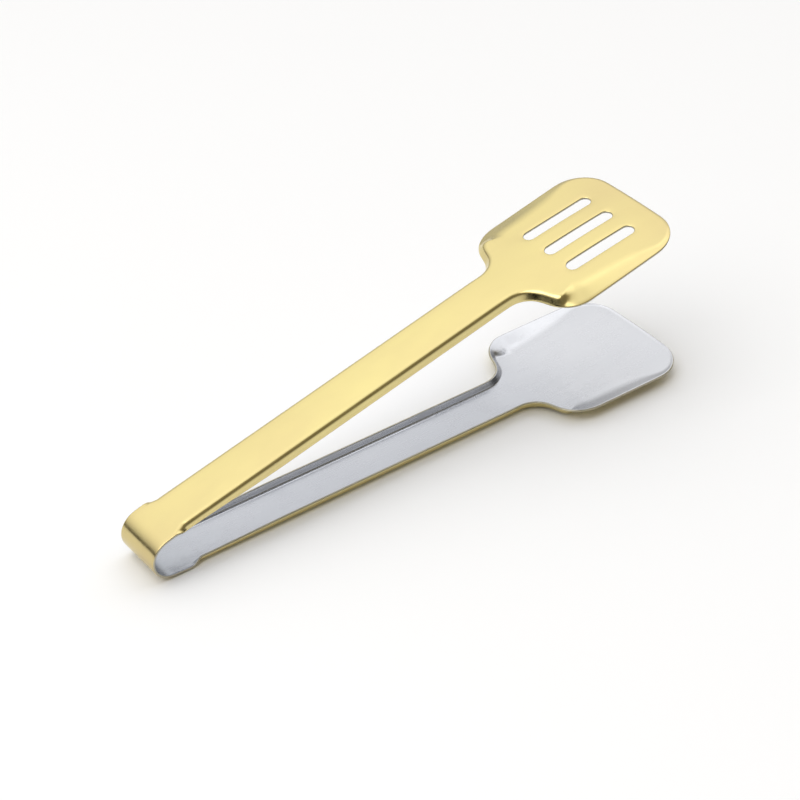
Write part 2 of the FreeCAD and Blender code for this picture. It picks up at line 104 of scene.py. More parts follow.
# ---------------------------------------------------------------- the strip's centre path
# u runs along the outer face from the back of the bow; the lower leg is its mirror image.
def make_path():
    k = np.array(MOUTH)
    a1 = math.atan2(k[1], k[0]) + math.acos(BOW_RADIUS / np.hypot(*k))  # where the bow's arc ends
    t1 = BOW_RADIUS * np.array([math.cos(a1), math.sin(a1)])
    l1 = BOW_RADIUS * (math.pi - a1)
    l2 = float(np.hypot(*(k - t1)))
    lead = (k - t1) / l2
    leg = np.array([math.cos(HALF_ANGLE), math.sin(HALF_ANGLE)])
    blade = np.array([math.cos(HALF_ANGLE - BLADE_BEND), math.sin(HALF_ANGLE - BLADE_BEND)])
    l3 = LEG_END - LEG_START
    du = 0.05
    u = np.arange(0.0, 280.0, du)
    p = np.zeros((len(u), 2))
    arc = u < l1
    p[arc, 0] = BOW_RADIUS * np.cos(math.pi - u[arc] / BOW_RADIUS)
    p[arc, 1] = BOW_RADIUS * np.sin(math.pi - u[arc] / BOW_RADIUS)
    m = (u >= l1) & (u < l1 + l2)
    p[m] = t1 + (u[m] - l1)[:, None] * lead
    m = (u >= l1 + l2) & (u < l1 + l2 + l3)
    p[m] = k + (u[m] - l1 - l2)[:, None] * leg
    e = k + l3 * leg
    m = u >= l1 + l2 + l3
    p[m] = e + (u[m] - l1 - l2 - l3)[:, None] * blade
    full = np.vstack([p[:0:-1] * [1, -1], p])  # lower half, then upper half

    def blurred(q, sigma):
        n = int(4 * sigma / du)
        w = np.exp(-0.5 * (np.arange(-n, n + 1) * du / sigma) ** 2)
        w /= w.sum()
        out = q.copy()
        for c in (0, 1):
            out[n:-n, c] = np.convolve(q[:, c], w, "valid")
        return out

    s_full = np.concatenate([-u[:0:-1], u])
    soft = blurred(full, 0.9)
    wide = blurred(full, 3.0)
    at = l1 + l2 + l3
    share = smooth((14.0 - np.abs(np.abs(s_full) - at)) / 4.0)[:, None]
    full = soft * (1 - share) + wide * share
    tangent = np.gradient(full, axis=0)
    tangent /= np.linalg.norm(tangent, axis=1)[:, None]
    normal = np.stack([-tangent[:, 1], tangent[:, 0]], 1)
    return s_full, full, normal, l1 + l2 - LEG_START


PATH_U, PATH_P, PATH_N, U_OF_S0 = make_path()
U_SPLIT = LEG_END + U_OF_S0


def place(u, y, z):
    """Flat strip coordinates (u signed along the strip, y across, z outward) to the row frame, in metres."""
    u, y, z = np.broadcast_arrays(np.asarray(u, float), np.asarray(y, float), np.asarray(z, float))
    px, pz = np.interp(u, PATH_U, PATH_P[:, 0]), np.interp(u, PATH_U, PATH_P[:, 1])
    nx, nz = np.interp(u, PATH_U, PATH_N[:, 0]), np.interp(u, PATH_U, PATH_N[:, 1])
    x3, z3 = px + z * nx, pz + z * nz
    c, s = math.cos(HALF_ANGLE), math.sin(HALF_ANGLE)
    out = np.stack([BOW_CENTRE[0] + x3 * c - z3 * s, BOW_CENTRE[1] + y, BOW_CENTRE[2] + x3 * s + z3 * c], -1)
    return out / 1000.0


# ---------------------------------------------------------------- rows across the folded edge
N_BEND, N_WALL, N_EDGE = 9, 4, 4


def edge_rows(w, d, ro):
    """Offsets outward of the fold line and heights, from where the outer bend starts, down the wall,
    round the sheet's edge and back up the inside."""
    ln = math.hypot(w, d)
    phi = math.atan2(d, w)
    th = math.tan(phi / 2)
    to = ro * th
    c = np.array([-to, -ro])
    wd, n = np.array([math.cos(phi), -math.sin(phi)]), np.array([math.sin(phi), math.cos(phi)])
    fold = np.zeros(2)
    pts = []
    for i in range(N_BEND + 1):
        a = phi * i / N_BEND
        pts.append(c + ro * np.array([math.sin(a), math.cos(a)]))
    r = EDGE_ROUND
    e = fold + wd * ln
    b = pts[-1]
    start = e - wd * r
    for i in range(1, N_WALL):
        pts.append(b + (start - b) * i / N_WALL)
    for i in range(N_EDGE + 1):
        a = math.pi / 2 * i / N_EDGE
        pts.append(e - wd * r - n * r + r * (math.sin(a) * wd + math.cos(a) * n))
    e2 = e - n * GAUGE
    for i in range(N_EDGE + 1):
        a = math.pi / 2 * i / N_EDGE
        pts.append(e2 - wd * r + n * r + r * (math.cos(a) * wd - math.sin(a) * n))
    ri = ro - GAUGE
    b2 = c + ri * n
    start = e2 - wd * r
    for i in range(1, N_WALL):
        pts.append(start + (b2 - start) * i / N_WALL)
    for i in range(N_BEND + 1):
        a = phi * (N_BEND - i) / N_BEND
        pts.append(c + ri * np.array([math.sin(a), math.cos(a)]))
    return np.array(pts)


ROWS = len(edge_rows(1.0, 1.0, 1.5))
OUT_ROWS = N_BEND + N_WALL + N_EDGE // 2  # rows on the coated face
IN_ROW = N_BEND + N_WALL + N_EDGE + 1 + N_EDGE // 2


def leg_section(s):
    """(fold half width, wall plan width, wall depth, outer bend radius) at s along the leg."""
    f = float(smooth((s - 4.8) / 5.7))
    turn = math.radians(1.5) + f * (math.atan2(FLANGE_DEPTH, FLARE) - math.radians(1.5))
    flat_edge = BOW_HALF - WEB_FOLD
    full = math.hypot(FLARE, FLANGE_DEPTH)
    length = flat_edge + float(smooth((s - 5.0) / 5.8)) * (0.74 * full - flat_edge) + float(smooth((s - 9.0) / 45.0)) * 0.26 * full
    return WEB_FOLD, length * math.cos(turn), length * math.sin(turn), LEG_BEND


N_WEB = 8


def web_crown(s):
    return WEB_CROWN * float(smooth((s - 14.0) / 20.0))


class Skin:
    """The strip's vertices, kept both in the row frame and in flat strip coordinates, and its faces."""

    def __init__(self):
        self.co, self.flat, self.faces, self.part, self.side = [], [], [], [], []
        self.count = 0

    def add(self, u, y, z):
        u, y, z = np.broadcast_arrays(np.asarray(u, float), np.asarray(y, float), np.asarray(z, float))
        start = self.count
        self.co.append(place(u, y, z).reshape(-1, 3))
        self.flat.append(np.stack([u, y, z], -1).reshape(-1, 3) / 1000.0)
        self.count += u.size
        return np.arange(start, self.count)

    def face(self, ids, part, side):
        self.faces.append([int(i) for i in ids])
        self.part.append(part)
        self.side.append(side)


GOLD, STEEL, CUT = 0, 1, 2
BOW, U_ARM, U_BLADE, L_ARM, L_BLADE = range(5)
skin = Skin()


def row_side(k):
    """Which face of the sheet lies between row k and row k + 1."""
    if k < OUT_ROWS:
        return GOLD
    if k < IN_ROW:
        return CUT
    return STEEL


# ---------------------------------------------------------------- bow and legs
def strip_stations():
    s_bow = list(np.arange(-U_OF_S0, 7.0, 0.45))
    s_run = list(np.linspace(7.0, 20.0, 44))
    s_leg = list(np.linspace(20.0, LEG_END - 14, 60))[1:]
    s_end = list(np.linspace(LEG_END - 14, LEG_END, 20))[1:]
    return np.array(s_bow + s_run[0:] + s_leg + s_end)


stations = strip_stations()
assert abs(stations[-1] - LEG_END) < 1e-9
i10 = int(np.argmin(np.abs(stations - LEG_START)))
stations[i10] = LEG_START


def section_ids(s, sign):
    wf, w, d, ro = leg_section(s + (UPPER_LEAD if sign > 0 else -LOWER_LAG))
    rows = edge_rows(w, d, ro)
    ya = wf + rows[0, 0]
    crown = web_crown(s)
    cols = np.linspace(-ya, ya, 2 * N_WEB + 1)[1:-1]
    zc = crown * (1 - (cols / ya) ** 2)
    y = np.concatenate([wf + rows[:, 0], cols[::-1], -(wf + rows[::-1, 0]), cols])
    z = np.concatenate([rows[:, 1], zc[::-1] - GAUGE, rows[::-1, 1], zc])
    u = sign * (s + U_OF_S0)
    return skin.add(u, y, z)


sections = []
for s in stations[::-1]:
    sections.append((-1, s, section_ids(s, -1)))
for s in stations[1:]:
    sections.append((1, s, section_ids(s, 1)))
M = len(sections[0][2])
nin = 2 * N_WEB - 1
side_of = []
for k in range(M):
    if k < ROWS - 1:
        side_of.append(row_side(k))
    elif k < ROWS + nin:
        side_of.append(STEEL)
    elif k < 2 * ROWS + nin - 1:
        side_of.append(row_side(ROWS - 2 - (k - ROWS - nin)))
    else:
        side_of.append(GOLD)
for (g0, s0, a), (g1, s1, b) in zip(sections[:-1], sections[1:]):
    mid = (g0 * (s0 + U_OF_S0) + g1 * (s1 + U_OF_S0)) / 2
    if abs(mid) < LEG_START + U_OF_S0:
        part = BOW
    else:
        part = U_ARM if mid > 0 else L_ARM
    for k in range(M):
        j = (k + 1) % M
        skin.face((a[k], b[k], b[j], a[j]), part, side_of[k])


# ---------------------------------------------------------------- blades
def half_outline(step):
    corners = [(0.0, WEB_FOLD + FLARE, 0.0), (NECK_X, WEB_FOLD + FLARE, NECK_ROUND), (HEEL_X, HEEL_HALF, HEEL_ROUND),
               (TOE_X, TOE_HALF, TOE_ROUND), (TOE_X, 0.0, 0.0)]
    pts = [np.array(corners[0][:2])]
    for i in range(1, len(corners) - 1):
        a, b, c = (np.array(corners[j][:2]) for j in (i - 1, i, i + 1))
        r = corners[i][2]
        ua, ub = a - b, c - b
        la, lb = np.linalg.norm(ua), np.linalg.norm(ub)
        ua, ub = ua / la, ub / lb
        ang = math.acos(np.clip(ua @ ub, -1, 1))
        cut = min(r / math.tan(ang / 2), 0.95 * la if i == 1 else 0.49 * la, 0.9 * lb if i == len(corners) - 2 else 0.49 * lb)
        rr = cut * math.tan(ang / 2)
        p, q = b + ua * cut, b + ub * cut
        w = (ua + ub) / np.linalg.norm(ua + ub)
        o = b + w * rr / math.sin(ang / 2)
        a0, a1 = math.atan2(*(p - o)[::-1]), math.atan2(*(q - o)[::-1])
        da = (a1 - a0 + math.pi) % (2 * math.pi) - math.pi
        for k in range(41):
            t = a0 + da * k / 40
            pts.append(o + rr * np.array([math.cos(t), math.sin(t)]))
    pts.append(np.array(corners[-1][:2]))
    pts = np.array(pts)
    seg = np.linalg.norm(np.diff(pts, axis=0), axis=1)
    acc = np.concatenate([[0], np.cumsum(seg)])
    # ease the joins of lines and arcs
    fine = np.linspace(0, acc[-1], 2400)
    q = np.stack([np.interp(fine, acc, pts[:, c]) for c in (0, 1)], 1)
    h = fine[1] - fine[0]
    n = int(3 * 1.2 / h)
    ker = np.exp(-0.5 * (np.arange(-n, n + 1) * h / 1.2) ** 2)
    ker /= ker.sum()
    ext = np.vstack([q[0] + (q[0] - q[n:0:-1]), q, (q[-2:-n - 2:-1]) * [1, -1]])
    q = np.stack([np.convolve(ext[:, c], ker, "valid") for c in (0, 1)], 1)
    q[0] = pts[0]
    q[:, 1][-1] = 0.0
    near = np.clip((q[:, 0] - (TOE_X - TOE_ROUND)) / TOE_ROUND, 0, 1)
    q[:, 0] += near ** 2 * TOE_CROWN * (1 - (q[:, 1] / TOE_HALF) ** 2)
    seg = np.linalg.norm(np.diff(q, axis=0), axis=1)
    acc = np.concatenate([[0], np.cumsum(seg)])
    n = int(round(acc[-1] / step))
    return np.stack([np.interp(np.linspace(0, acc[-1], n + 1), acc, q[:, c]) for c in (0, 1)], 1)


def eased(x, xs, ys):
    """Monotone cubic through the points."""
    xs, ys = np.asarray(xs, float), np.asarray(ys, float)
    h = np.diff(xs)
    dl = np.diff(ys) / h
    m = np.zeros(len(xs))
    for i in range(1, len(xs) - 1):
        m[i] = 0 if dl[i - 1] * dl[i] <= 0 else 2 * dl[i - 1] * dl[i] / (dl[i - 1] + dl[i])
    x = float(np.clip(x, xs[0], xs[-1]))
    i = int(np.clip(np.searchsorted(xs, x) - 1, 0, len(h) - 1))
    t = (x - xs[i]) / h[i]
    return float((1 + 2 * t) * (1 - t) ** 2 * ys[i] + t * (1 - t) ** 2 * h[i] * m[i] + t * t * (3 - 2 * t) * ys[i + 1]
                 + t * t * (t - 1) * h[i] * m[i + 1])


OUTLINE = half_outline(0.75)
ARC = np.concatenate([[0], np.cumsum(np.linalg.norm(np.diff(OUTLINE, axis=0), axis=1))])


def arc_at(x, y):
    return float(ARC[np.argmin(np.hypot(OUTLINE[:, 0] - x, OUTLINE[:, 1] - y))])


X0 = HEEL_X + 9.5  # head coordinates start 24 mm from the split
WALL_KEYS = [
    # point on the rim (x, y), wall plan width, rim depth, outer bend radius
    ((0.0, 10.4), FLARE, FLANGE_DEPTH, LEG_BEND),
    ((3.6, 10.8), FLARE + 0.15, FLANGE_DEPTH, LEG_BEND),
    ((7.7, 14.1), 1.9, 3.55, 2.1),
    ((9.4, 17.2), 2.1, 3.6, 2.2),
    ((10.9, 21.0), 2.2, 3.6, 2.2),
    ((11.9, 23.4), 2.3, 3.6, 2.5),
    ((13.2, 25.3), 2.9, 3.5, 3.8),
    ((14.5, 26.7), 4.8, 3.4, 7.0),
    ((16.5, 28.2), 6.7, 3.35, 11.0),
    ((20.3, 29.8), 7.6, 3.25, 13.0),
    ((26.7, 30.0), 7.0, 2.85, 12.0),
    ((37.0, 30.0), 6.3, 2.2, 14.0),
    ((48.0, 30.0), 5.2, 1.5, 14.0),
    ((55.0, 30.0), 3.6, 1.1, 9.0),
    ((60.0, 29.3), 2.3, 0.9, 5.0),
    ((65.5, 26.5), 1.5, 0.7, 3.0),
    ((70.5, 20.0), 1.2, 0.56, 2.4),
    ((72.2, 0.0), 1.2, 0.55, 2.4),
]
KEY_ARC = [arc_at(*k[0]) for k in WALL_KEYS]
KEY_ARC[0], KEY_ARC[-1] = 0.0, float(ARC[-1])


def blade_rows():
    """Rows across the wall at each station of the half outline: (station, row, 3) in flat coordinates."""
    p = OUTLINE
    t = np.gradient(p, axis=0)
    t /= np.linalg.norm(t, axis=1)[:, None]
    out = np.stack([-t[:, 1], t[:, 0]], 1)
    out[0], out[-1] = (0, 1), (1, 0)
    grid = np.zeros((len(p), ROWS, 3))
    for i in range(len(p)):
        w, d, ro = (eased(ARC[i], KEY_ARC, [k[c] for k in WALL_KEYS]) for c in (1, 2, 3))
        rows = edge_rows(w, d, ro)
        for k in range(ROWS):
            grid[i, k, :2] = p[i] + out[i] * (rows[k, 0] - w)
            grid[i, k, 2] = rows[k, 1]
    return grid


HALF_ROWS = blade_rows()


def inside(poly, pts):
    x, y = pts[:, 0], pts[:, 1]
    x0, y0 = poly[:, 0], poly[:, 1]
    x1, y1 = np.roll(x0, -1), np.roll(y0, -1)
    hit = (y0[None] > y[:, None]) != (y1[None] > y[:, None])
    with np.errstate(divide="ignore", invalid="ignore"):
        xx = (x1 - x0)[None] * (y[:, None] - y0[None]) / (y1 - y0)[None] + x0[None]
    return (hit & (x[:, None] < xx)).sum(1) % 2 == 1


def gap_to(poly, pts):
    a, b = poly, np.roll(poly, -1, 0)
    d = b - a
    t = np.clip(((pts[:, None] - a[None]) * d[None]).sum(-1) / (d * d).sum(-1)[None], 0, 1)
    return np.linalg.norm(pts[:, None] - (a[None] + t[..., None] * d[None]), axis=-1).min(1)


def slot_loop(y, grow):
    r = SLOT_W / 2 + grow
    x0, x1 = SLOT_START, SLOT_START + SLOT_RUN
    n_end, n_run = 18, 20
    pts = []
    for k in range(n_end):
        a = -math.pi / 2 + math.pi * k / n_end
        pts.append((x1 + r * math.cos(a), y + r * math.sin(a)))
    for k in range(n_run):
        pts.append((x1 + (x0 - x1) * k / n_run, y + r))
    for k in range(n_end):
        a = math.pi / 2 + math.pi * k / n_end
        pts.append((x0 + r * math.cos(a), y + r * math.sin(a)))
    for k in range(n_run):
        pts.append((x0 + (x1 - x0) * k / n_run, y - r))
    return np.array(pts)


SLOT_ROUND = 0.42


def slot_rings():
    """(plan growth, depth below the outer face) of the rings down a slot's wall."""
    r = SLOT_ROUND
    out = [(r * (1 - math.sin(a)), r * (1 - math.cos(a))) for a in np.linspace(0, math.pi / 2, 5)]
    return out + [(g, GAUGE - d) for g, d in out[::-1]]


def build_blade(sign, slotted, part, end_ids):
    """end_ids: the leg's last section, whose vertices the blade shares."""
    n = len(HALF_ROWS)
    grid = np.concatenate([HALF_ROWS, HALF_ROWS[-2::-1] * [1, -1, 1]])
    cnt = len(grid)
    ids = np.zeros((cnt, ROWS), int)
    u = sign * (U_SPLIT + grid[..., 0])
    for i in range(cnt):
        if i == 0:
            ids[i] = end_ids[:ROWS]
        elif i == cnt - 1:
            ids[i] = end_ids[ROWS + nin:2 * ROWS + nin][::-1]
        else:
            ids[i] = skin.add(u[i], grid[i, :, 1], grid[i, :, 2])
    for i in range(cnt - 1):
        for k in range(ROWS - 1):
            skin.face((ids[i, k], ids[i, k + 1], ids[i + 1, k + 1], ids[i + 1, k]), part, row_side(k))
    # the flat between the walls
    rim = grid[:, 0, :2]
    ya = rim[0, 1]
    cols = np.linspace(-ya, ya, 2 * N_WEB + 1)[1:-1]
    border = np.vstack([rim, np.stack([np.zeros(nin), cols], 1)])
    loops = [slot_loop(y, SLOT_ROUND) for y in (-SLOT_PITCH, 0.0, SLOT_PITCH)] if slotted else []
    pitch = 1.35
    gx, gy = np.meshgrid(np.arange(0, 74, pitch), np.arange(-31, 31.1, pitch * 0.866))
    gx = gx + (np.arange(gy.shape[0]) % 2)[:, None] * pitch / 2
    pts = np.stack([gx.ravel(), gy.ravel()], 1)
    pts = pts[inside(border, pts)]
    pts = pts[gap_to(border, pts) > 0.75 * pitch]
    for lp in loops:
        pts = pts[~inside(lp, pts)]
        pts = pts[gap_to(lp, pts) > 0.75 * pitch]
    verts = np.vstack([border] + loops + [pts])
    edges, at = [], 0
    for lp in [border] + loops:
        m = len(lp)
        edges += [(at + k, at + (k + 1) % m) for k in range(m)]
        at += m
    res = delaunay_2d_cdt([Vector((float(a), float(b))) for a, b in verts], edges, [], 0, 1e-6)
    tv, tf, orig = np.array([[v.x, v.y] for v in res[0]]), res[2], res[3]
    assert len(tv) == len(verts), (len(tv), len(verts))
    back = [o[0] for o in orig]
    tf = np.array([[back[i] for i in f] for f in tf])
    mid = verts[tf].mean(1)
    keep = inside(border, mid)
    for lp in loops:
        keep &= ~inside(lp, mid)
    tf = tf[keep]
    # crown: the shape of a sheet pushed up gently between its walls
    nb = len(border)
    height = np.zeros(len(verts))
    height[len(rim):nb] = web_crown(LEG_END) * (1 - (cols / ya) ** 2)
    fixed = np.zeros(len(verts), bool)
    fixed[:nb] = True
    e = np.vstack([tf[:, [0, 1]], tf[:, [1, 2]], tf[:, [2, 0]]])
    e = np.unique(np.sort(e, 1), axis=0)
    lap = np.zeros((len(verts), len(verts)))
    wgt = 1.0 / np.linalg.norm(verts[e[:, 0]] - verts[e[:, 1]], axis=1) ** 0
    lap[e[:, 0], e[:, 1]] -= wgt
    lap[e[:, 1], e[:, 0]] -= wgt
    lap[np.arange(len(verts)), np.arange(len(verts))] = -lap.sum(1)
    free = ~fixed
    load = np.ones(free.sum())
    solve = np.linalg.solve(lap[np.ix_(free, free)], np.stack([load, -lap[np.ix_(free, fixed)] @ height[fixed]], 1))
    push = solve[:, 0] / solve[:, 0].max()
    height[free] = solve[:, 1] + BLADE_CROWN * push
    for z_off, row, side in ((0.0, 0, GOLD), (-GAUGE, ROWS - 1, STEEL)):
        vid = np.zeros(len(verts), int)
        vid[:len(rim)] = ids[:, row]
        if row == 0:
            vid[len(rim):nb] = end_ids[2 * ROWS + nin:]
        else:
            vid[len(rim):nb] = end_ids[ROWS:ROWS + nin][::-1]
        vid[nb:] = skin.add(sign * (U_SPLIT + verts[nb:, 0]), verts[nb:, 1], height[nb:] + z_off)
        for f in tf:
            skin.face(vid[f], part, side)
        if row == 0:
            top = vid
        else:
            under = vid
    at = nb
    for lp in loops:
        m = len(lp)
        rings = slot_rings()
        base = height[at:at + m]
        centre = verts[at:at + m].mean(0)
        y = round(float(centre[1]) / SLOT_PITCH) * SLOT_PITCH
        ring_ids = [top[at:at + m]]
        for g, dep in rings[1:-1]:
            q = slot_loop(y, g)
            ring_ids.append(skin.add(sign * (U_SPLIT + q[:, 0]), q[:, 1], base - dep))
        ring_ids.append(under[at:at + m])
        nr = len(ring_ids)
        for j in range(nr - 1):
            side = GOLD if j < 2 else (STEEL if j > nr - 4 else CUT)
            for k in range(m):
                k2 = (k + 1) % m
                skin.face((ring_ids[j][k], ring_ids[j][k2], ring_ids[j + 1][k2], ring_ids[j + 1][k]), part, side)
        at += m


build_blade(1, True, U_BLADE, sections[-1][2])
build_blade(-1, False, L_BLADE, sections[0][2])

# ---------------------------------------------------------------- one closed mesh, checked, then cut into pieces
co = np.vstack(skin.co)
flat = np.vstack(skin.flat)
mesh = bpy.data.meshes.new("strip")
mesh.from_pydata([tuple(v) for v in co], [], skin.faces)
bm = bmesh.new()
bm.from_mesh(mesh)
loose = [v for v in bm.verts if not v.link_faces]
open_edges = [e for e in bm.edges if len(e.link_faces) != 2]
print("strip:", len(bm.verts), "vertices", len(bm.faces), "faces", len(loose), "loose", len(open_edges), "open edges")
bmesh.ops.recalc_face_normals(bm, faces=bm.faces)
volume = bm.calc_volume(signed=True)
if volume < 0:
    bmesh.ops.reverse_faces(bm, faces=bm.faces)
print("volume mm3", volume * 1e9)
bm.to_mesh(mesh)
bm.free()
mesh.shade_smooth()
normals = np.zeros(len(mesh.vertices) * 3)
mesh.vertex_normals.foreach_get("vector", normals)
normals = normals.reshape(-1, 3)

parts = np.array(skin.part)
sides = np.array(skin.side)
polys = [tuple(p.vertices) for p in mesh.polygons]


def order_loops(edges):
    """Closed loops of directed edges."""
    nxt = dict(edges)
    loops = []
    while nxt:
        a = next(iter(nxt))
        loop = [a]
        b = nxt.pop(a)
        while b != loop[0]:
            loop.append(b)
            b = nxt.pop(b)
        loops.append(loop)
    return loops


def cut_piece(name, part, mats):
    idx = np.flatnonzero(parts == part)
    used = sorted({v for i in idx for v in polys[i]})
    new = {v: k for k, v in enumerate(used)}
    faces = [[new[v] for v in polys[i]] for i in idx]
    slots = [int(sides[i]) for i in idx]
    vn = normals[used]
    # close the cut ends with faces that follow the channel's wall thickness
    directed = {}
    for f in faces:
        for a, b in zip(f, f[1:] + f[:1]):
            directed[(a, b)] = True
    ends = [(b, a) for (a, b) in directed if (b, a) not in directed]
    caps = []
    for loop in order_loops(ends):
        caps += cap_faces(loop, [co[used[v]] for v in loop])
    n_side = len(faces)
    verts = [tuple(co[v]) for v in used]
    cap_at = len(verts)
    # the caps use the skin's own vertices at the cut, so the mesh stays closed
    me = bpy.data.meshes.new(name)
    me.from_pydata(verts, [], faces + caps)
    for m in mats:
        me.materials.append(m)
    me.polygons.foreach_set("material_index", np.array(slots + [CUT] * len(caps), np.int32))
    me.shade_smooth()
    # shading normals: the whole strip's on the skin, flat on the caps
    custom = np.zeros((len(me.loops), 3))
    vert_of = np.zeros(len(me.loops), np.int32)
    me.loops.foreach_get("vertex_index", vert_of)
    custom[:] = vn[vert_of]
    for p in list(me.polygons)[n_side:]:
        for li in p.loop_indices:
            custom[li] = p.normal
    me.normals_split_custom_set([tuple(v) for v in custom])
    # where each point lies on the flat strip, for the grain of the metal
    layer = me.attributes.new("flat", "FLOAT_VECTOR", "POINT")
    layer.data.foreach_set("vector", flat[used].ravel())
    ob = bpy.data.objects.new(name, me)
    bpy.context.scene.collection.objects.link(ob)
    return ob


def cap_faces(loop, pts):
    """A section's end face as quads across the sheet's thickness. The loop holds the section's vertices in
    order; it is matched outer row to inner row by the known layout."""
    m = len(loop)
    # find where the loop starts in the section's own order
    for (sg, s, ids) in (sections[0], sections[-1], (0, 0, SEC_LOW), (0, 0, SEC_UP)):
        where = {tuple(np.round(co[i] * 1e6).astype(int)): k for k, i in enumerate(ids)}
        ks = [where.get(tuple(np.round(p * 1e6).astype(int))) for p in pts]
        if None not in ks:
            break
    else:
        raise RuntimeError("an open edge lies on no section")
    at = {k: v for k, v in zip(ks, loop)}
    forward = (ks[1] - ks[0]) % m == 1
    outer = [k for k in range(ROWS // 2)][::-1] + [2 * ROWS + nin + j for j in range(nin)][::-1] + \
            [ROWS + nin + (ROWS - 1 - k) for k in range(ROWS // 2)]
    inner = [ROWS - 1 - k for k in range(ROWS // 2)][::-1] + [ROWS + j for j in range(nin)] + \
            [ROWS + nin + k for k in range(ROWS // 2)]
    out = []
    for a, b, c, d in zip(outer[:-1], outer[1:], inner[1:], inner[:-1]):
        f = [at[a], at[b], at[c], at[d]]
        out.append(f)
    # orient like the loop
    a, b = outer[0], outer[1]
    run = (b - a) % m == 1
    if run != forward:
        out = [f[::-1] for f in out]
    return out


SEC_LOW = next(ids for sg, s, ids in sections if sg < 0 and abs(s - LEG_START) < 1e-9)
SEC_UP = next(ids for sg, s, ids in sections if sg > 0 and abs(s - LEG_START) < 1e-9)


# ---------------------------------------------------------------- materials
class Nodes:
    def __init__(self, mat):
        self.nt = mat.node_tree
        self.flat = self.new("ShaderNodeAttribute")
        self.flat.attribute_name = "flat"

    def new(self, kind, **props):
        n = self.nt.nodes.new(kind)
        for k, v in props.items():
            setattr(n, k, v)
        return n

    def link(self, a, b):
        self.nt.links.new(a, b)

    def noise(self, scale, stretch, detail=2.0, rough=0.5):
        """Noise over the flat strip; stretch is the length of its marks along x, y, z in metres."""
        m = self.new("ShaderNodeMapping")
        m.inputs["Scale"].default_value = tuple(1.0 / v for v in stretch)
        self.link(self.flat.outputs["Vector"], m.inputs["Vector"])
        n = self.new("ShaderNodeTexNoise")
        n.inputs["Scale"].default_value = scale
        n.inputs["Detail"].default_value = detail
        n.inputs["Roughness"].default_value = rough
        self.link(m.outputs["Vector"], n.inputs["Vector"])
        return n.outputs[0]

    def ranged(self, value, lo, hi, to_lo, to_hi):
        n = self.new("ShaderNodeMapRange")
        for k, v in (("From Min", lo), ("From Max", hi), ("To Min", to_lo), ("To Max", to_hi)):
            n.inputs[k].default_value = v
        self.link(value, n.inputs["Value"])
        return n.outputs[0]

    def along(self, points):
        """A smooth curve over the distance from the back of the bow, 0 to 0.26 m."""
        axes = self.new("ShaderNodeSeparateXYZ")
        self.link(self.flat.outputs["Vector"], axes.inputs[0])
        size = self.new("ShaderNodeMath", operation="ABSOLUTE")
        self.link(axes.outputs["X"], size.inputs[0])
        n = self.new("ShaderNodeFloatCurve")
        c = n.mapping.curves[0]
        c.points[0].location = (points[0][0] / 0.26, points[0][1])
        c.points[1].location = (points[-1][0] / 0.26, points[-1][1])
        for x, y in points[1:-1]:
            c.points.new(x / 0.26, y)
        n.mapping.update()
        self.link(self.ranged(size.outputs[0], 0.0, 0.26, 0.0, 1.0), n.inputs["Value"])
        return n.outputs[0]

    def sum(self, a, b):
        n = self.new("ShaderNodeMath", operation="ADD")
        self.link(a, n.inputs[0])
        self.link(b, n.inputs[1])
        return n.outputs[0]

    def blend(self, fac, a, b):
        n = self.new("ShaderNodeMix", data_type="RGBA")
        self.link(fac, n.inputs[0])
        for sock, v in ((n.inputs[6], a), (n.inputs[7], b)):
            if isinstance(v, tuple):
                sock.default_value = (*v, 1)
            else:
                self.link(v, sock)
        return n.outputs[2]

    def bump(self, height, strength, distance, under=None):
        n = self.new("ShaderNodeBump")
        n.inputs["Strength"].default_value = strength
        n.inputs["Distance"].default_value = distance
        self.link(height, n.inputs["Height"])
        if under is not None:
            self.link(under, n.inputs["Normal"])
        return n.outputs["Normal"]


def metal(name, colour_a, colour_b, rough, grain=1.0, along=None, bow=None):
    """Sheet metal: cloudy change of tone, rolling grain along the strip, faint smudges and fine wiping marks.
    along gives the share of the second colour at distances in metres from the back of the bow, and bow a
    darker colour painted over the back of the bow as shade, with its share."""
    mat = bpy.data.materials.new(name)
    mat.use_nodes = True
    k = Nodes(mat)
    p = mat.node_tree.nodes["Principled BSDF"]
    p.inputs["Metallic"].default_value = 1.0
    cloud = k.noise(1.0, (0.045, 0.020, 0.020), 2.0, 0.5)
    lines = k.noise(1.0, (0.020, 0.00022, 0.00022), 2.5, 0.6)
    smudge = k.noise(1.0, (0.011, 0.008, 0.008), 3.0, 0.6)
    wipes = k.noise(1.0, (0.00035, 0.009, 0.009), 2.0, 0.5)
    if along is None:
        tone = k.blend(k.ranged(cloud, 0.35, 0.65, 0.0, 1.0), colour_a, colour_b)
    else:
        tone = k.blend(k.ranged(k.sum(k.along(along), k.ranged(cloud, 0.3, 0.7, -0.12, 0.12)), 0.0, 1.0, 0.0, 1.0), colour_a, colour_b)
    # painted shade: the bow colour darkens the back of the bow
    if bow is not None:
        tone = k.blend(k.along(bow[1]), tone, bow[0])
    dim = tuple(c * 0.93 for c in colour_a)
    tone = k.blend(k.ranged(lines, 0.55, 0.80, 0.0, 0.30 * grain), tone, dim)
    k.link(tone, p.inputs["Base Color"])
    r = k.sum(k.ranged(smudge, 0.35, 0.70, rough - 0.03, rough + 0.05), k.ranged(lines, 0.3, 0.7, -0.015 * grain, 0.03 * grain))
    k.link(r, p.inputs["Roughness"])
    nrm = k.bump(lines, 0.10 * grain, 0.00005)
    nrm = k.bump(wipes, 0.04 * grain, 0.00005, nrm)
    k.link(nrm, p.inputs["Normal"])
    return mat
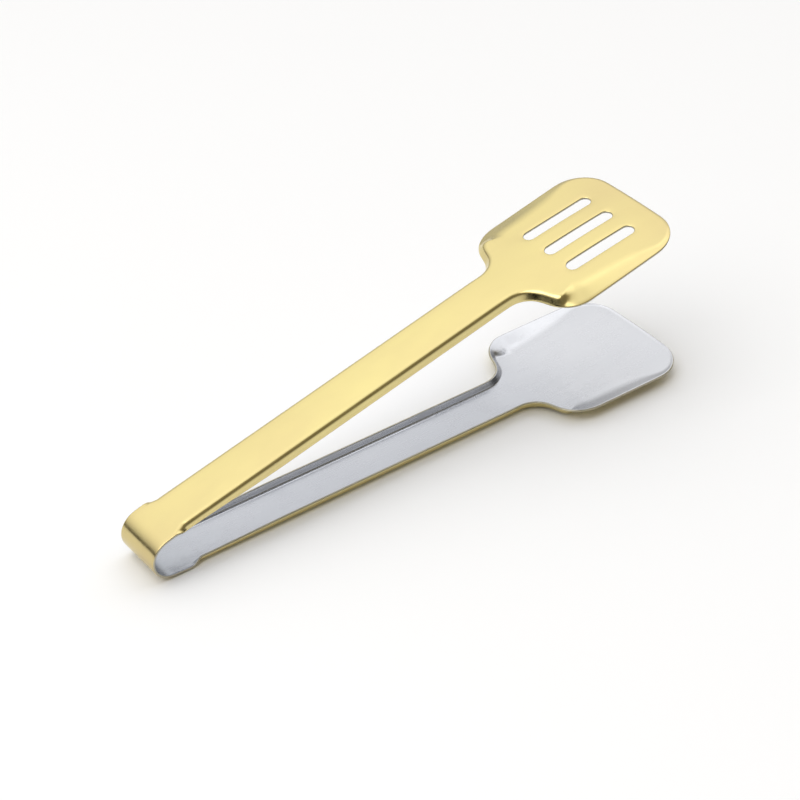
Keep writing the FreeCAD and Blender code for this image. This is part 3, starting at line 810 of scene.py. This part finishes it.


# the gold's last colour, with its share, is painted shade darkening the back of the bow
gold = metal("gold_coating", GOLD_A, GOLD_B, 0.20, 1.0,
             ((0.0, 0.5), (0.035, 0.32), (0.19, 0.28), (0.26, 0.6)),
             (GOLD_PAINTED_SHADE, ((0.0, 0.4), (0.030, 0.0), (0.26, 0.0))))
# the steel's last colour, with its share, is painted shade darkening the inside of the bow's back
steel = metal("bare_steel", STEEL_A, STEEL_B, 0.25, 1.0,
              ((0.0, 0.0), (0.16, 0.15), (0.215, 0.9), (0.26, 0.9)),
              (STEEL_PAINTED_SHADE, ((0.0, 0.8), (0.045, 0.0), (0.26, 0.0))))
cut = metal("cut_edge", CUT_A, CUT_B, 0.36, 2.0)

NAMES = {BOW: "bow_spring", U_ARM: "upper_arm", U_BLADE: "upper_blade_slotted", L_ARM: "lower_arm", L_BLADE: "lower_blade"}
BODY = {U_ARM: "upper", U_BLADE: "upper", L_ARM: "lower", L_BLADE: "lower"}
pieces = {}
for part, node in NAMES.items():
    ob = cut_piece(node + "_sheet", part, [gold, steel, cut])
    if part == BOW:
        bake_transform(ob)
    else:
        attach(ob, BODY[part])
    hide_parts(node)
    pieces[part] = ob
bpy.data.meshes.remove(mesh)

# ---------------------------------------------------------------- floor, light, camera
floor_mesh = bpy.data.meshes.new("floor")
half = 3.0
floor_mesh.from_pydata([(-half, -half, 0), (half, -half, 0), (half, half, 0), (-half, half, 0)], [], [(0, 1, 2, 3)])
floor = bpy.data.objects.new("floor", floor_mesh)
floor.location.z = -0.0002
bpy.context.scene.collection.objects.link(floor)
fm = bpy.data.materials.new("floor_paper")
fm.use_nodes = True
fp = fm.node_tree.nodes["Principled BSDF"]
fp.inputs["Base Color"].default_value = (0.93, 0.936, 0.955, 1)
fp.inputs["Roughness"].default_value = 0.8
floor_mesh.materials.append(fm)

world = bpy.data.worlds.new("studio")
bpy.context.scene.world = world
world.use_nodes = True
wt = world.node_tree
bg = wt.nodes["Background"]
where = wt.nodes.new("ShaderNodeTexCoord")
axes = wt.nodes.new("ShaderNodeSeparateXYZ")
wt.links.new(where.outputs["Generated"], axes.inputs[0])


def world_curve(value, points):
    ramp = wt.nodes.new("ShaderNodeFloatCurve")
    c = ramp.mapping.curves[0]
    half = wt.nodes.new("ShaderNodeMapRange")
    half.inputs["From Min"].default_value, half.inputs["From Max"].default_value = -1.0, 1.0
    wt.links.new(value, half.inputs["Value"])
    c.points[0].location = ((points[0][0] + 1) / 2, points[0][1] / 2)
    c.points[1].location = ((points[-1][0] + 1) / 2, points[-1][1] / 2)
    for x, y in points[1:-1]:
        c.points.new((x + 1) / 2, y / 2)
    ramp.mapping.update()
    wt.links.new(half.outputs[0], ramp.inputs["Value"])
    return ramp.outputs[0]


def world_times(a, b):
    n = wt.nodes.new("ShaderNodeMath")
    n.operation = "MULTIPLY"
    wt.links.new(a, n.inputs[0])
    if isinstance(b, float):
        n.inputs[1].default_value = b
    else:
        wt.links.new(b, n.inputs[1])
    return n.outputs[0]


# bright overhead and behind, darker round the horizon and towards the front, as in a light tent open at the front
rise = world_curve(axes.outputs["Z"], SKY_RISE)
front = world_curve(axes.outputs["Y"], SKY_FRONT)
left_low = world_times(world_times(world_curve(axes.outputs["X"], SKY_LEFT), world_curve(axes.outputs["Z"], SKY_LOW)), 4.0)
side = wt.nodes.new("ShaderNodeMath")
side.operation = "SUBTRACT"
side.inputs[0].default_value = 1.0
wt.links.new(left_low, side.inputs[1])
level = world_times(world_times(world_times(rise, front), 4.0 * SKY_LEVEL), side.outputs[0])
low = world_times(world_times(world_curve(axes.outputs["Y"], FRONT_LOW), world_curve(axes.outputs["Z"], FRONT_RISE)), 4.0 * SKY_LEVEL)
both = wt.nodes.new("ShaderNodeMath")
both.operation = "ADD"
wt.links.new(level, both.inputs[0])
wt.links.new(low, both.inputs[1])
wt.links.new(both.outputs[0], bg.inputs["Strength"])
warm = wt.nodes.new("ShaderNodeMix")
warm.data_type = "RGBA"
wt.links.new(world_times(world_times(world_curve(axes.outputs["Y"], WARM_FRONT), world_curve(axes.outputs["Z"], WARM_RISE)), 4.0), warm.inputs[0])
warm.inputs[6].default_value = (1.0, 0.995, 0.985, 1)
warm.inputs[7].default_value = (1.0, 0.89, 0.64, 1)
wt.links.new(warm.outputs[2], bg.inputs["Color"])


def panel(name, at, to, size, power, colour=(1, 1, 1)):
    data = bpy.data.lights.new(name, "AREA")
    data.shape = "RECTANGLE"
    data.size, data.size_y = size
    data.energy = power
    data.color = colour
    ob = bpy.data.objects.new(name, data)
    ob.location = at
    ob.rotation_euler = (Vector(to) - Vector(at)).to_track_quat("-Z", "Y").to_euler()
    bpy.context.scene.collection.objects.link(ob)
    return ob


panel("overhead", TOP_AT, (0.0, 0.0, 0.0), TOP_SIZE, TOP_POWER)
panel("overhead_right", RIGHT_AT, (0.0, 0.0, 0.0), RIGHT_SIZE, RIGHT_POWER)

scene = bpy.context.scene
scene.view_settings.view_transform = "Standard"
cam_data = bpy.data.cameras.new("camera")
cam = bpy.data.objects.new("camera", cam_data)
scene.collection.objects.link(cam)
scene.camera = cam
cam_data.sensor_width = 36.0
cam_data.lens = 2290.484 * 36.0 / 800.0
cam_data.clip_start, cam_data.clip_end = 0.01, 20.0
right = Vector((0.798753607, -0.601657913, -0.000656975))
up = Vector((0.36071057, 0.47800039, 0.80087672))
back = -Vector((0.48153978, 0.63994014, -0.5988289))
cam.matrix_world = Matrix((
    (right.x, up.x, back.x, (-303.42528 + BOW_CENTRE[0]) / 1000),
    (right.y, up.y, back.y, -545.79439 / 1000),
    (right.z, up.z, back.z, 534.0392 / 1000),
    (0, 0, 0, 1)))
